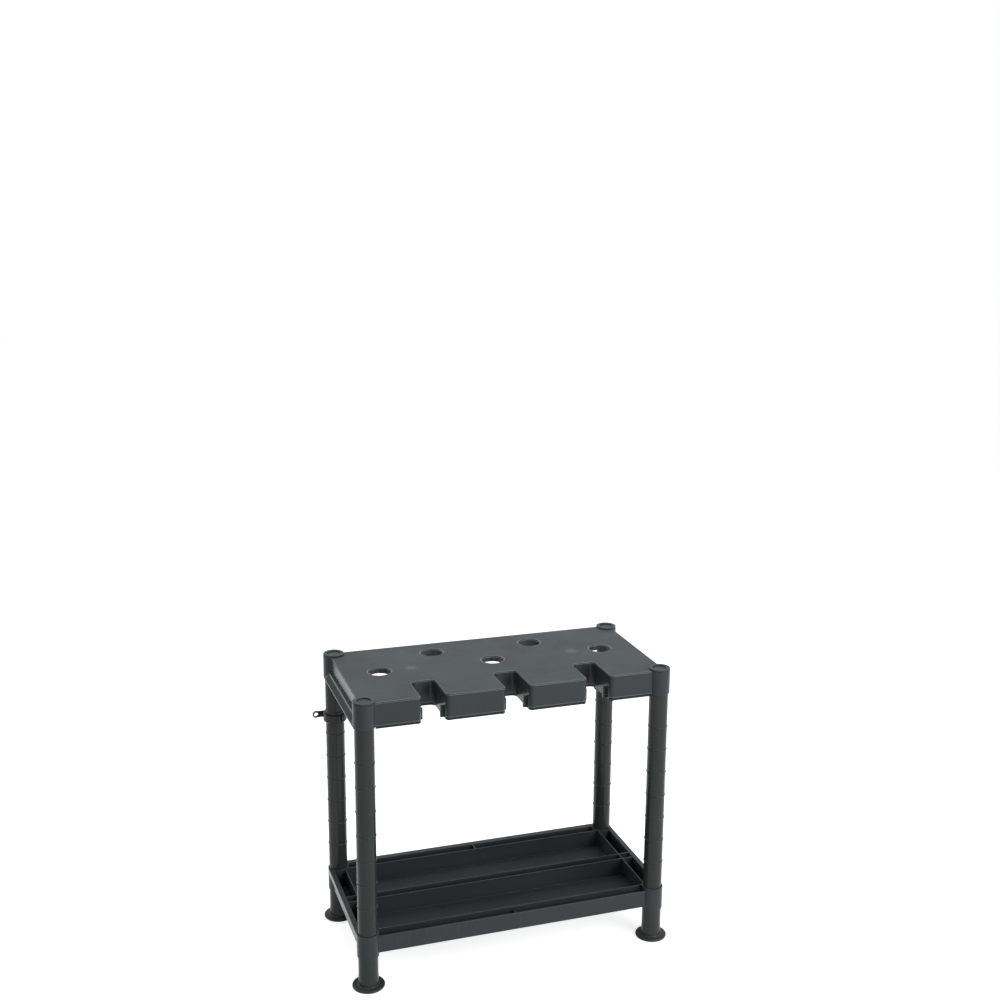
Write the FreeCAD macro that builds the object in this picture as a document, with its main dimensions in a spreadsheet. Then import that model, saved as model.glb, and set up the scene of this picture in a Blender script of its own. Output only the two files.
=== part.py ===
import FreeCAD, Part
import os
import re
import Sketcher
from FreeCAD import Vector

# A freestanding rack for long-handled garden tools, moulded in plastic.
# A notched and holed shelf and an open tray stand on four tubular posts with short splayed feet.
# +X runs along the rack, +Y to its rear and +Z up, and the origin is on the ground under its middle.

# Driving sizes in millimetres: name, value and what it measures.
SIZES = (
    ("post_spacing_x", 600, "post axis to post axis, left to right"),
    ("post_spacing_y", 280, "post axis to post axis, front to rear"),
    ("post_diameter", 38, "outside of the post tube"),
    ("post_wall", 2.2, "wall of the post tube"),
    ("bead_diameter", 40, "outside of a raised bead on a post"),
    ("bead_width", 3, "height of one bead"),
    ("bead_edge", 1, "flat outer edge of one bead"),
    ("bead_count", 7, "beads on each post"),
    ("top_bead_drop", 119.5, "shelf top to the middle of the highest bead"),
    ("low_bead_rise", 56.6, "tray socket's top to the middle of the lowest bead"),
    ("socket_diameter", 43, "outside of a corner socket"),
    ("socket_clearance", 0.15, "gap round a tube in its socket"),
    ("leg_diameter", 38.8, "outside of a foot's leg"),
    ("leg_wall", 2.4, "wall of a foot's leg"),
    ("leg_base_diameter", 41, "leg where it meets the foot's disc"),
    ("leg_taper_height", 30, "height where the leg's taper ends"),
    ("leg_base_fillet", 2.5, "rounding between leg and disc"),
    ("foot_diameter", 64, "outside of a foot's disc"),
    ("foot_thickness", 5.5, "thickness of a foot's disc"),
    ("foot_edge_radius", 2.6, "rounding of the disc's edge"),
    ("foot_recess_depth", 3, "hollow ring under the disc"),
    ("foot_rim", 5, "wall outside and inside the hollow ring"),
    ("face_offset", 9, "front and rear faces outside the post axes"),
    ("tray_bottom_height", 72, "underside of the tray's floor"),
    ("tray_height", 40.5, "underside of the tray's floor to its rim"),
    ("tray_floor", 2.5, "thickness of the tray's floor"),
    ("tray_wall", 2.5, "thickness of the tray's walls"),
    ("tray_side_offset", 11.5, "inside of the tray's side walls outside the post axes"),
    ("tray_socket_drop", 6, "tray sockets' lower end below the tray's underside"),
    ("tray_socket_rise", 1.5, "tray sockets' upper end above the rim"),
    ("front_wall_drop", 5, "front wall's top below the rim"),
    ("front_edge_radius", 1.6, "rounding of the front wall's top edge"),
    ("lip_drop", 12, "height of the lip's outer face"),
    ("lip_thickness", 2.5, "wall of the lip"),
    ("shoulder_rise", 16, "underside of a socket's shoulder above the tray's underside"),
    ("shoulder_thickness", 4, "shoulder between leg and post"),
    ("rib_thickness", 2.2, "upright ribs in the tray"),
    ("rib_drop", 0.6, "rib tops below the rim"),
    ("rib_inset_x", 12, "rib loop inside the post axes, at the sides"),
    ("rib_inset_y", 11, "rib loop inside the post axes, front and rear"),
    ("middle_rib_spacing", 21, "between the two ribs across the middle"),
    ("shelf_surface_height", 586.5, "top of the shelf"),
    ("shelf_plate", 3, "thickness of the shelf's top"),
    ("shelf_wall", 3, "thickness of the shelf's skirt"),
    ("skirt_height", 52.5, "shelf top to the skirt's lower edge"),
    ("shelf_socket_rise", 4, "shelf sockets' lower end above the skirt's"),
    ("shelf_socket_lip", 4, "ledge that rests on a post's top"),
    ("shelf_edge_radius", 2.5, "rounding of the shelf's top edge"),
    ("lower_step_height", 6, "set-back band along the skirt's lower edge"),
    ("lower_step_depth", 1.2, "how far that band is set back"),
    ("side_ledge_drop", 30.5, "shelf top to the ledge on the skirt's sides"),
    ("side_ledge_width", 5, "ledge on the skirt's sides, outwards"),
    ("side_ledge_face", 4.5, "upright face below that ledge"),
    ("side_foot_face", 3.5, "upright face along the sides' lower edge"),
    ("notch_spacing", 167, "notch to notch"),
    ("notch_width", 48, "width of a notch"),
    ("notch_depth", 88, "depth of a notch from the front face"),
    ("notch_front_radius", 9, "corners at a notch's mouth"),
    ("notch_back_radius", 10, "corners at a notch's end"),
    ("nub_height", 23, "nubs on a notch's side walls"),
    ("nub_width", 6, "nubs, front to rear"),
    ("nub_depth", 6.5, "how far a nub stands into the notch"),
    ("nub_setback", 20, "nubs behind the front face"),
    ("hole_diameter", 42, "bore of a tool hole"),
    ("hole_depth", 12, "shelf top to the lower end of a hole's collar"),
    ("hole_edge_radius", 4.5, "rounding of a hole's upper edge"),
    ("hole_collar_wall", 2.5, "wall of a hole's collar"),
    ("front_hole_spacing", 234, "hole to hole in the front row"),
    ("front_hole_setback", 75, "front row behind the notches' ends"),
    ("rear_hole_spacing", 212, "hole to hole in the rear row"),
    ("rear_hole_inset", 55, "rear row inside the rear face"),
    ("stiffener_depth", 8, "ribs under the shelf"),
    ("stiffener_thickness", 2, "ribs under the shelf"),
    ("cap_diameter", 42, "outside of a post cap"),
    ("cap_height", 3.5, "cap above the shelf"),
    ("cap_edge_radius", 0.8, "rounding of the cap's rim"),
    ("cap_recess_diameter", 27.5, "dish in the cap"),
    ("cap_recess_depth", 2.5, "dish in the cap"),
    ("cap_plug_length", 14, "plug below the cap"),
    ("cap_plug_wall", 2, "wall of the plug"),
    ("cap_plug_clearance", 0.15, "gap round the plug in the post"),
    ("tie_drop", 7, "top of a wall tie's collar below the highest bead"),
    ("tie_height", 16, "height of the collar"),
    ("tie_diameter", 48, "outside of the collar"),
    ("tie_clearance", 0.3, "gap round the post in the collar"),
    ("tie_edge_chamfer", 2, "bevel round the collar's lower edge"),
    ("tie_gap", 4, "split in the collar"),
    ("tie_gap_angle", 70, "split, clockwise from the rack's length"),
    ("tie_end_width", 5, "thickened end beside the split"),
    ("tie_end_depth", 1.4, "how far that end stands out"),
    ("ear_reach", 35.5, "screw hole outside the post axis"),
    ("ear_width", 12.5, "height of the ear's bar"),
    ("ear_thickness", 4, "thickness of the ear"),
    ("ear_rim", 1.8, "raised rim round the ear's panel"),
    ("ear_panel_depth", 1.2, "panel behind the ear's rim"),
    ("ear_end_diameter", 14.2, "round end of the ear"),
    ("screw_hole_diameter", 8.4, "hole in the ear"),
)

# Sizes that follow from the ones above.
POST_X = "(post_spacing_x / 2)"
POST_Y = "(post_spacing_y / 2)"
POST_BORE = "(post_diameter - 2 * post_wall)"
POST_SOCKET = "(post_diameter + 2 * socket_clearance)"
LEG_SOCKET = "(leg_diameter + 2 * socket_clearance)"
TRAY_RIM = "(tray_bottom_height + tray_height)"
FRONT_WALL_TOP = "(tray_bottom_height + tray_height - front_wall_drop)"
TRAY_SOCKET_BOTTOM = "(tray_bottom_height - tray_socket_drop)"
TRAY_SOCKET_TOP = "(tray_bottom_height + tray_height + tray_socket_rise)"
LEG_TOP = "(tray_bottom_height + shoulder_rise)"
POST_FOOT = "(tray_bottom_height + shoulder_rise + shoulder_thickness)"
POST_TOP = "(shelf_surface_height - shelf_socket_lip)"
SKIRT_BOTTOM = "(shelf_surface_height - skirt_height)"
SHELF_SOCKET_BOTTOM = "(shelf_surface_height - skirt_height + shelf_socket_rise)"
LEDGE = "(shelf_surface_height - side_ledge_drop)"
TOP_BEAD = "(shelf_surface_height - top_bead_drop)"
LOW_BEAD = f"({TRAY_SOCKET_TOP} + low_bead_rise)"
FACE_X = "(post_spacing_x / 2 + face_offset)"
FACE_Y = "(post_spacing_y / 2 + face_offset)"
OUTER_X = "(post_spacing_x / 2 + socket_diameter / 2)"
OUTER_Y = "(post_spacing_y / 2 + socket_diameter / 2)"
TRAY_INSIDE_X = "(post_spacing_x / 2 + tray_side_offset)"
NOTCH_END = "(notch_depth - post_spacing_y / 2 - face_offset)"
FRONT_HOLE_Y = f"({NOTCH_END} + front_hole_setback)"
REAR_HOLE_Y = f"({FACE_Y} - rear_hole_inset)"

ALIAS = re.compile(r"\b(" + "|".join(row[0] for row in SIZES) + r")\b")
CORNERS = (("front_left", -1, -1), ("front_right", 1, -1), ("rear_left", -1, 1), ("rear_right", 1, 1))
NOTCHES = (-1, 0, 1)
TOLERANCE = 0.01

doc = FreeCAD.newDocument("garden_tool_rack")
sizes = doc.addObject("Spreadsheet::Sheet", "Sizes")
for row, (alias, number, note) in enumerate(SIZES, 1):
    sizes.set(f"A{row}", alias)
    sizes.set(f"B{row}", str(number))
    sizes.set(f"C{row}", note)
    sizes.setAlias(f"B{row}", alias)
doc.recompute()


def value(text):
    return float(sizes.evalExpression(text))


def bind(thing, prop, text):
    thing.setExpression(prop, ALIAS.sub(r"Sizes.\1", text))


def newBody(label, x="0", y="0", z="0"):
    body = doc.addObject("PartDesign::Body", label)
    body.Label = label
    for axis, text in zip("xyz", (x, y, z)):
        bind(body, f"Placement.Base.{axis}", text)
    return body


def newSketch(body, name, role="XY_Plane", offset="0"):
    plane = next(item for item in body.Origin.OriginFeatures if item.Role == role)
    sketch = body.newObject("Sketcher::SketchObject", name)
    sketch.AttachmentSupport = [(plane, "")]
    sketch.MapMode = "FlatFace"
    bind(sketch, "AttachmentOffset.Base.z", offset)
    return sketch


def placePoint(sketch, geometry, point, x, y):
    for kind, text in (("DistanceX", x), ("DistanceY", y)):
        index = sketch.addConstraint(Sketcher.Constraint(kind, -1, 1, geometry, point, value(text)))
        bind(sketch, f"Constraints[{index}]", text)


# Draws a closed outline through points whose coordinates are expressions.
def addOutline(sketch, points):
    places = [Vector(value(x), value(y), 0) for x, y in points]
    first = sketch.GeometryCount
    for index, place in enumerate(places):
        sketch.addGeometry(Part.LineSegment(place, places[(index + 1) % len(places)]), False)
    for index, (x, y) in enumerate(points):
        placePoint(sketch, first + index, 1, x, y)
    for index in range(len(points)):
        following = first + (index + 1) % len(points)
        sketch.addConstraint(Sketcher.Constraint("Coincident", first + index, 2, following, 1))


def addRectangle(sketch, left, right, low, high):
    addOutline(sketch, ((left, low), (right, low), (right, high), (left, high)))


def addCircle(sketch, x, y, diameter):
    circle = Part.Circle(Vector(value(x), value(y), 0), Vector(0, 0, 1), value(diameter) / 2)
    geometry = sketch.addGeometry(circle, False)
    placePoint(sketch, geometry, 3, x, y)
    index = sketch.addConstraint(Sketcher.Constraint("Diameter", geometry, value(diameter)))
    bind(sketch, f"Constraints[{index}]", diameter)


# Fails when a feature leaves the volume as it was, as a cut that points away from the solid does.
def finish(body, feature, grows):
    before = body.Tip.BaseFeature.Shape.Volume if body.Tip.BaseFeature else 0
    doc.recompute()
    change = feature.Shape.Volume - before
    if change * grows <= 0:
        raise ValueError(f"{feature.Name} changes the volume by {change:.1f}")
    return feature


def pad(body, sketch, length, symmetric=False):
    feature = body.newObject("PartDesign::Pad", sketch.Name + "_pad")
    feature.Profile = sketch
    feature.Midplane = symmetric
    bind(feature, "Length", length)
    return finish(body, feature, 1)


def cut(body, sketch, length, upward=True, symmetric=False):
    feature = body.newObject("PartDesign::Pocket", sketch.Name + "_cut")
    feature.Profile = sketch
    feature.Reversed = upward
    feature.Midplane = symmetric
    bind(feature, "Length", length)
    return finish(body, feature, -1)


def revolve(body, sketch):
    feature = body.newObject("PartDesign::Revolution", sketch.Name + "_turned")
    feature.Profile = sketch
    feature.ReferenceAxis = (sketch, ["V_Axis"])
    feature.Angle = 360
    return finish(body, feature, 1)


def dress(body, kind, prop, size, edges):
    if not edges:
        raise ValueError(f"no edge found for the {kind} on {body.Label}")
    base = body.Tip
    feature = body.newObject(f"PartDesign::{kind}", f"{body.Name}_{kind}")
    feature.Base = (base, edges)
    bind(feature, prop, size)
    doc.recompute()
    return feature


def near(first, second):
    return abs(first - second) < TOLERANCE


def edgesWhere(body, test):
    return [f"Edge{number}" for number, edge in enumerate(body.Tip.Shape.Edges, 1) if test(edge)]


# Whole circles of a given diameter at a given height in the body.
def ringEdges(body, diameter, height):
    radius = value(diameter) / 2
    level = value(height)

    def test(edge):
        curve = edge.Curve
        return isinstance(curve, Part.Circle) and near(curve.Radius, radius) and near(curve.Center.z, level)

    return edgesWhere(body, test)


# Straight upright edges over any of the given plan points.
def uprightEdges(body, points):
    places = [(value(x), value(y)) for x, y in points]

    def test(edge):
        low, high = edge.Vertexes[0].Point, edge.Vertexes[-1].Point
        upright = near(low.x, high.x) and near(low.y, high.y) and not near(low.z, high.z)
        return upright and any(near(low.x, x) and near(low.y, y) for x, y in places)

    return edgesWhere(body, test)


def flatEdgesAt(body, height):
    level = value(height)
    return edgesWhere(body, lambda edge: all(near(vertex.Z, level) for vertex in edge.Vertexes))


def times(sign, text):
    return f"({sign}) * {text}"


# A tube with raised beads. It stands on the shoulder in the tray's socket and carries the shelf.
def makePost(corner, sideX, sideY):
    label = f"post_{corner}"
    body = newBody(label, times(sideX, POST_X), times(sideY, POST_Y), POST_FOOT)
    section = newSketch(body, f"{label}_section")
    addCircle(section, "0", "0", "post_diameter")
    addCircle(section, "0", "0", POST_BORE)
    pad(body, section, f"{POST_TOP} - {POST_FOOT}")
    bead = newSketch(body, f"{label}_bead", "XZ_Plane")
    middle = f"({TOP_BEAD} - {POST_FOOT})"
    addOutline(bead, (
        ("post_diameter / 2 - post_wall / 2", f"{middle} - bead_width / 2"),
        ("post_diameter / 2", f"{middle} - bead_width / 2"),
        ("bead_diameter / 2", f"{middle} - bead_edge / 2"),
        ("bead_diameter / 2", f"{middle} + bead_edge / 2"),
        ("post_diameter / 2", f"{middle} + bead_width / 2"),
        ("post_diameter / 2 - post_wall / 2", f"{middle} + bead_width / 2"),
    ))
    ring = revolve(body, bead)
    row = body.newObject("PartDesign::LinearPattern", f"{label}_beads")
    row.Originals = [ring]
    row.Direction = (bead, ["V_Axis"])
    row.Reversed = True
    bind(row, "Length", f"{TOP_BEAD} - {LOW_BEAD}")
    bind(row, "Occurrences", "bead_count")
    body.Tip = row
    return finish(body, row, 1)


# A hollow leg on a thin round-edged disc. Its top meets the shoulder in the tray's socket.
def makeFoot(corner, sideX, sideY):
    label = f"foot_{corner}"
    body = newBody(label, times(sideX, POST_X), times(sideY, POST_Y))
    profile = newSketch(body, f"{label}_profile", "XZ_Plane")
    bore = "leg_diameter / 2 - leg_wall"
    addOutline(profile, (
        (bore, "0"),
        ("foot_diameter / 2", "0"),
        ("foot_diameter / 2", "foot_thickness"),
        ("leg_base_diameter / 2", "foot_thickness"),
        ("leg_diameter / 2", "leg_taper_height"),
        ("leg_diameter / 2", LEG_TOP),
        (bore, LEG_TOP),
    ))
    revolve(body, profile)
    recess = newSketch(body, f"{label}_recess")
    addCircle(recess, "0", "0", "foot_diameter - 2 * foot_rim")
    addCircle(recess, "0", "0", "leg_diameter - 2 * leg_wall + 2 * foot_rim")
    cut(body, recess, "foot_recess_depth")
    edge = ringEdges(body, "foot_diameter", "0") + ringEdges(body, "foot_diameter", "foot_thickness")
    dress(body, "Fillet", "Radius", "foot_edge_radius", edge)
    dress(body, "Fillet", "Radius", "leg_base_fillet", ringEdges(body, "leg_base_diameter", "foot_thickness"))


# A dished button whose plug closes the post's bore through the shelf's socket.
def makeCap(corner, sideX, sideY):
    label = f"cap_{corner}"
    body = newBody(label, times(sideX, POST_X), times(sideY, POST_Y), "shelf_surface_height")
    profile = newSketch(body, f"{label}_profile", "XZ_Plane")
    plug = f"({POST_BORE} / 2 - cap_plug_clearance)"
    dish = "(cap_height - cap_recess_depth)"
    addOutline(profile, (
        ("0", f"{dish} - cap_plug_wall"),
        (f"{plug} - cap_plug_wall", f"{dish} - cap_plug_wall"),
        (f"{plug} - cap_plug_wall", "-cap_plug_length"),
        (plug, "-cap_plug_length"),
        (plug, "0"),
        ("cap_diameter / 2 - cap_edge_radius", "0"),
        ("cap_diameter / 2", "cap_edge_radius"),
        ("cap_diameter / 2", "cap_height"),
        ("cap_recess_diameter / 2", "cap_height"),
        ("cap_recess_diameter / 2", dish),
        ("0", dish),
    ))
    revolve(body, profile)
    rims = ringEdges(body, "cap_diameter", "cap_height")
    rims += ringEdges(body, "cap_recess_diameter", "cap_height")
    dress(body, "Fillet", "Radius", "cap_edge_radius", rims)


def notchCentre(place):
    return f"({place}) * notch_spacing"


# The shelf's plan, moved inwards by an inset: a rectangle with three notches in its front.
def shelfPlan(inset):
    front = f"{inset} - {FACE_Y}"
    end = f"{NOTCH_END} + {inset}"
    points = [(f"{inset} - {FACE_X}", front)]
    for place in NOTCHES:
        left = f"{notchCentre(place)} - notch_width / 2 - {inset}"
        right = f"{notchCentre(place)} + notch_width / 2 + {inset}"
        points += [(left, front), (left, end), (right, end), (right, front)]
    points += [(f"{FACE_X} - {inset}", front), (f"{FACE_X} - {inset}", f"{FACE_Y} - {inset}")]
    points.append((f"{inset} - {FACE_X}", f"{FACE_Y} - {inset}"))
    return points


def notchCorners(plan, mouth):
    corners = []
    for place in range(len(NOTCHES)):
        first = 1 + 4 * place
        corners += [plan[first], plan[first + 3]] if mouth else [plan[first + 1], plan[first + 2]]
    return corners


def holePlaces():
    front = [(times(side, "front_hole_spacing"), FRONT_HOLE_Y) for side in (-1, 0, 1)]
    rear = [(times(side, "rear_hole_spacing / 2"), REAR_HOLE_Y) for side in (-1, 1)]
    return front + rear


def addCornerCircles(sketch, diameter):
    for corner, sideX, sideY in CORNERS:
        addCircle(sketch, times(sideX, POST_X), times(sideY, POST_Y), diameter)


def addShelfShell(body):
    plan = shelfPlan("0")
    outline = newSketch(body, "shelf_outline", offset=SKIRT_BOTTOM)
    addOutline(outline, plan)
    pad(body, outline, "skirt_height")
    dress(body, "Fillet", "Radius", "notch_front_radius", uprightEdges(body, notchCorners(plan, True)))
    dress(body, "Fillet", "Radius", "notch_back_radius", uprightEdges(body, notchCorners(plan, False)))
    dress(body, "Fillet", "Radius", "shelf_edge_radius", flatEdgesAt(body, "shelf_surface_height"))
    inside = shelfPlan("shelf_wall")
    hollow = newSketch(body, "shelf_hollow", offset=SKIRT_BOTTOM)
    addOutline(hollow, inside)
    cut(body, hollow, "skirt_height - shelf_plate")
    mouth = uprightEdges(body, notchCorners(inside, True))
    dress(body, "Fillet", "Radius", "notch_front_radius - shelf_wall", mouth)
    end = uprightEdges(body, notchCorners(inside, False))
    dress(body, "Fillet", "Radius", "notch_back_radius + shelf_wall", end)


# The sides' lower band steps out under a ledge and splays to the sockets' outer line.
def addSideBands(body):
    opening = newSketch(body, "side_openings", offset=SKIRT_BOTTOM)
    for side in (-1, 1):
        inner = times(side, f"({FACE_X} - shelf_wall)")
        outer = times(side, FACE_X)
        addRectangle(opening, inner, outer, f"-{POST_Y}", POST_Y)
    cut(body, opening, f"{LEDGE} - shelf_wall - {SKIRT_BOTTOM}")
    bands = newSketch(body, "side_bands", "XZ_Plane")
    for side in (-1, 1):
        ledge = f"({FACE_X} + side_ledge_width)"
        addOutline(bands, (
            (times(side, f"({FACE_X} - shelf_wall)"), LEDGE),
            (times(side, ledge), LEDGE),
            (times(side, ledge), f"{LEDGE} - side_ledge_face"),
            (times(side, OUTER_X), f"{SHELF_SOCKET_BOTTOM} + side_foot_face"),
            (times(side, OUTER_X), SHELF_SOCKET_BOTTOM),
            (times(side, f"({OUTER_X} - shelf_wall)"), SHELF_SOCKET_BOTTOM),
            (times(side, f"({OUTER_X} - shelf_wall)"), f"{SHELF_SOCKET_BOTTOM} + side_foot_face"),
            (times(side, f"({ledge} - shelf_wall)"), f"{LEDGE} - side_ledge_face"),
            (times(side, f"({ledge} - shelf_wall)"), f"{LEDGE} - shelf_wall"),
            (times(side, f"({FACE_X} - shelf_wall)"), f"{LEDGE} - shelf_wall"),
        ))
    pad(body, bands, "post_spacing_y", symmetric=True)


# The band along the front's lower edge is set back on the flat stretches beside the notches.
def addLowerStep(body):
    step = newSketch(body, "lower_step", offset=SKIRT_BOTTOM)
    edge = "(notch_spacing - notch_width / 2 - notch_front_radius)"
    gap = "(notch_width / 2 + notch_front_radius)"
    end = f"({POST_X} - socket_diameter / 2)"
    stretches = (
        (f"-{end}", f"-(notch_spacing + {gap})"),
        (f"-{edge}", f"-{gap}"),
        (gap, edge),
        (f"notch_spacing + {gap}", end),
    )
    for left, right in stretches:
        addRectangle(step, left, right, f"-{FACE_Y}", f"lower_step_depth - {FACE_Y}")
    cut(body, step, "lower_step_height")


def addNubs(body):
    nubs = newSketch(body, "notch_nubs", offset=SKIRT_BOTTOM)
    front = f"(nub_setback - {FACE_Y})"
    for place in NOTCHES:
        for side in (-1, 1):
            wall = f"{notchCentre(place)} + ({side}) * (notch_width / 2 + shelf_wall / 2)"
            tip = f"{notchCentre(place)} + ({side}) * (notch_width / 2 - nub_depth)"
            addRectangle(nubs, wall, tip, front, f"{front} + nub_width")
    pad(body, nubs, "nub_height")


def addStiffeners(body):
    depth = "stiffener_depth + shelf_plate / 2"
    level = f"shelf_surface_height - shelf_plate / 2 - ({depth})"
    half = "stiffener_thickness / 2"
    lengthwise = newSketch(body, "lengthwise_stiffeners", offset=level)
    reach = f"({FACE_X} - shelf_wall / 2)"
    for y in (FRONT_HOLE_Y, REAR_HOLE_Y):
        addRectangle(lengthwise, f"-{reach}", reach, f"{y} - {half}", f"{y} + {half}")
    pad(body, lengthwise, depth)
    crosswise = newSketch(body, "crosswise_stiffeners", offset=level)
    for place in NOTCHES:
        centre = notchCentre(place)
        front = f"{NOTCH_END} + shelf_wall / 2"
        rear = f"{FACE_Y} - shelf_wall / 2"
        addRectangle(crosswise, f"{centre} - {half}", f"{centre} + {half}", front, rear)
    pad(body, crosswise, depth)


def addToolHoles(body):
    collars = newSketch(body, "hole_collars", offset="shelf_surface_height - hole_depth")
    for x, y in holePlaces():
        addCircle(collars, x, y, "hole_diameter + 2 * hole_collar_wall")
    pad(body, collars, "hole_depth - shelf_plate / 2")
    bores = newSketch(body, "hole_bores", offset=SKIRT_BOTTOM)
    for x, y in holePlaces():
        addCircle(bores, x, y, "hole_diameter")
    cut(body, bores, "skirt_height")
    rims = ringEdges(body, "hole_diameter", "shelf_surface_height")
    dress(body, "Fillet", "Radius", "hole_edge_radius", rims)


def addShelfSockets(body):
    sockets = newSketch(body, "shelf_sockets", offset=SHELF_SOCKET_BOTTOM)
    addCornerCircles(sockets, "socket_diameter")
    pad(body, sockets, "skirt_height - shelf_socket_rise")
    under = newSketch(body, "under_sockets", offset=SKIRT_BOTTOM)
    addCornerCircles(under, "socket_diameter")
    cut(body, under, "shelf_socket_rise")
    bores = newSketch(body, "shelf_socket_bores", offset=SKIRT_BOTTOM)
    addCornerCircles(bores, POST_SOCKET)
    cut(body, bores, "skirt_height - shelf_socket_lip")
    plugs = newSketch(body, "plug_holes", offset=SKIRT_BOTTOM)
    addCornerCircles(plugs, POST_BORE)
    cut(body, plugs, "skirt_height")


# The shelf is a hollow lid: a plate with a skirt, three notches, five collared holes and four sockets.
def makeShelf():
    body = newBody("top_shelf")
    addShelfShell(body)
    addLowerStep(body)
    addNubs(body)
    addStiffeners(body)
    addToolHoles(body)
    addSideBands(body)
    addShelfSockets(body)


def addTrayShell(body):
    outer = f"({TRAY_INSIDE_X} + tray_wall)"
    outline = newSketch(body, "tray_outline", offset="tray_bottom_height")
    addRectangle(outline, f"-{outer}", outer, f"-{FACE_Y}", f"{FACE_Y} + tray_wall")
    pad(body, outline, "tray_height")
    hollow = newSketch(body, "tray_hollow", offset="tray_bottom_height + tray_floor")
    addRectangle(hollow, f"-{TRAY_INSIDE_X}", TRAY_INSIDE_X, f"tray_wall - {FACE_Y}", FACE_Y)
    cut(body, hollow, "tray_height - tray_floor")
    front = newSketch(body, "front_wall_top", offset=FRONT_WALL_TOP)
    addRectangle(front, f"-{POST_X}", POST_X, f"-{FACE_Y}", f"tray_wall - {FACE_Y}")
    cut(body, front, "front_wall_drop")
    level = value(FRONT_WALL_TOP)
    face = -value(FACE_Y)

    def frontEdge(edge):
        return all(near(vertex.Z, level) and near(vertex.Y, face) for vertex in edge.Vertexes)

    dress(body, "Fillet", "Radius", "front_edge_radius", edgesWhere(body, frontEdge))


# Cross-section of a lip that runs outwards from a wall's top and turns down.
def lipSection(side, wall, reach):
    return (
        (times(side, wall), TRAY_RIM),
        (times(side, reach), TRAY_RIM),
        (times(side, reach), f"{TRAY_RIM} - lip_drop"),
        (times(side, f"({reach} - lip_thickness)"), f"{TRAY_RIM} - lip_drop"),
        (times(side, f"({reach} - lip_thickness)"), f"{TRAY_RIM} - lip_thickness"),
        (times(side, wall), f"{TRAY_RIM} - lip_thickness"),
    )


def addLips(body):
    sides = newSketch(body, "side_lips", "XZ_Plane")
    for side in (-1, 1):
        addOutline(sides, lipSection(side, f"({TRAY_INSIDE_X} + tray_wall / 2)", OUTER_X))
    pad(body, sides, "post_spacing_y", symmetric=True)
    rear = newSketch(body, "rear_lip", "YZ_Plane")
    addOutline(rear, lipSection(1, f"({FACE_Y} + tray_wall / 2)", OUTER_Y))
    pad(body, rear, "post_spacing_x", symmetric=True)


# Thin upright ribs: a loop set in from the walls, two across the middle and short ties in the gutters.
def addTrayRibs(body):
    level = "tray_bottom_height + tray_floor / 2"
    height = f"{TRAY_RIM} - rib_drop - ({level})"
    half = "rib_thickness / 2"
    loopX = f"({POST_X} - rib_inset_x)"
    loopY = f"({POST_Y} - rib_inset_y)"
    loop = newSketch(body, "rib_loop", offset=level)
    for sign in ("+", "-"):
        x = f"({loopX} {sign} {half})"
        y = f"({loopY} {sign} {half})"
        addRectangle(loop, f"-{x}", x, f"-{y}", y)
    pad(body, loop, height)
    across = newSketch(body, "cross_ribs", offset=level)
    reach = f"({TRAY_INSIDE_X} + tray_wall / 2)"
    for side in (-1, 1):
        centre = times(side, "middle_rib_spacing / 2")
        addRectangle(across, f"-{reach}", reach, f"{centre} - {half}", f"{centre} + {half}")
    addRectangle(across, f"-{half}", half, loopY, f"{FACE_Y} + tray_wall / 2")
    pad(body, across, height)
    tie = newSketch(body, "front_tie_rib", offset=level)
    addRectangle(tie, f"-{half}", half, f"tray_wall / 2 - {FACE_Y}", f"-{loopY}")
    pad(body, tie, f"{height} - front_wall_drop")


def addTraySockets(body):
    sockets = newSketch(body, "tray_sockets", offset=TRAY_SOCKET_BOTTOM)
    addCornerCircles(sockets, "socket_diameter")
    pad(body, sockets, "tray_socket_drop + tray_height + tray_socket_rise")
    lower = newSketch(body, "leg_bores", offset=TRAY_SOCKET_BOTTOM)
    addCornerCircles(lower, LEG_SOCKET)
    cut(body, lower, "tray_socket_drop + shoulder_rise")
    upper = newSketch(body, "post_bores", offset=POST_FOOT)
    addCornerCircles(upper, POST_SOCKET)
    cut(body, upper, f"{TRAY_SOCKET_TOP} - {POST_FOOT}")
    through = newSketch(body, "shoulder_bores", offset=TRAY_SOCKET_BOTTOM)
    addCornerCircles(through, POST_BORE)
    cut(body, through, "tray_socket_drop + tray_height + tray_socket_rise")


# The tray is an open box with ribs, a lip round its sides and rear, and four sockets.
def makeTray():
    body = newBody("bottom_tray")
    addTrayShell(body)
    addLips(body)
    addTrayRibs(body)
    addTraySockets(body)


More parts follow.
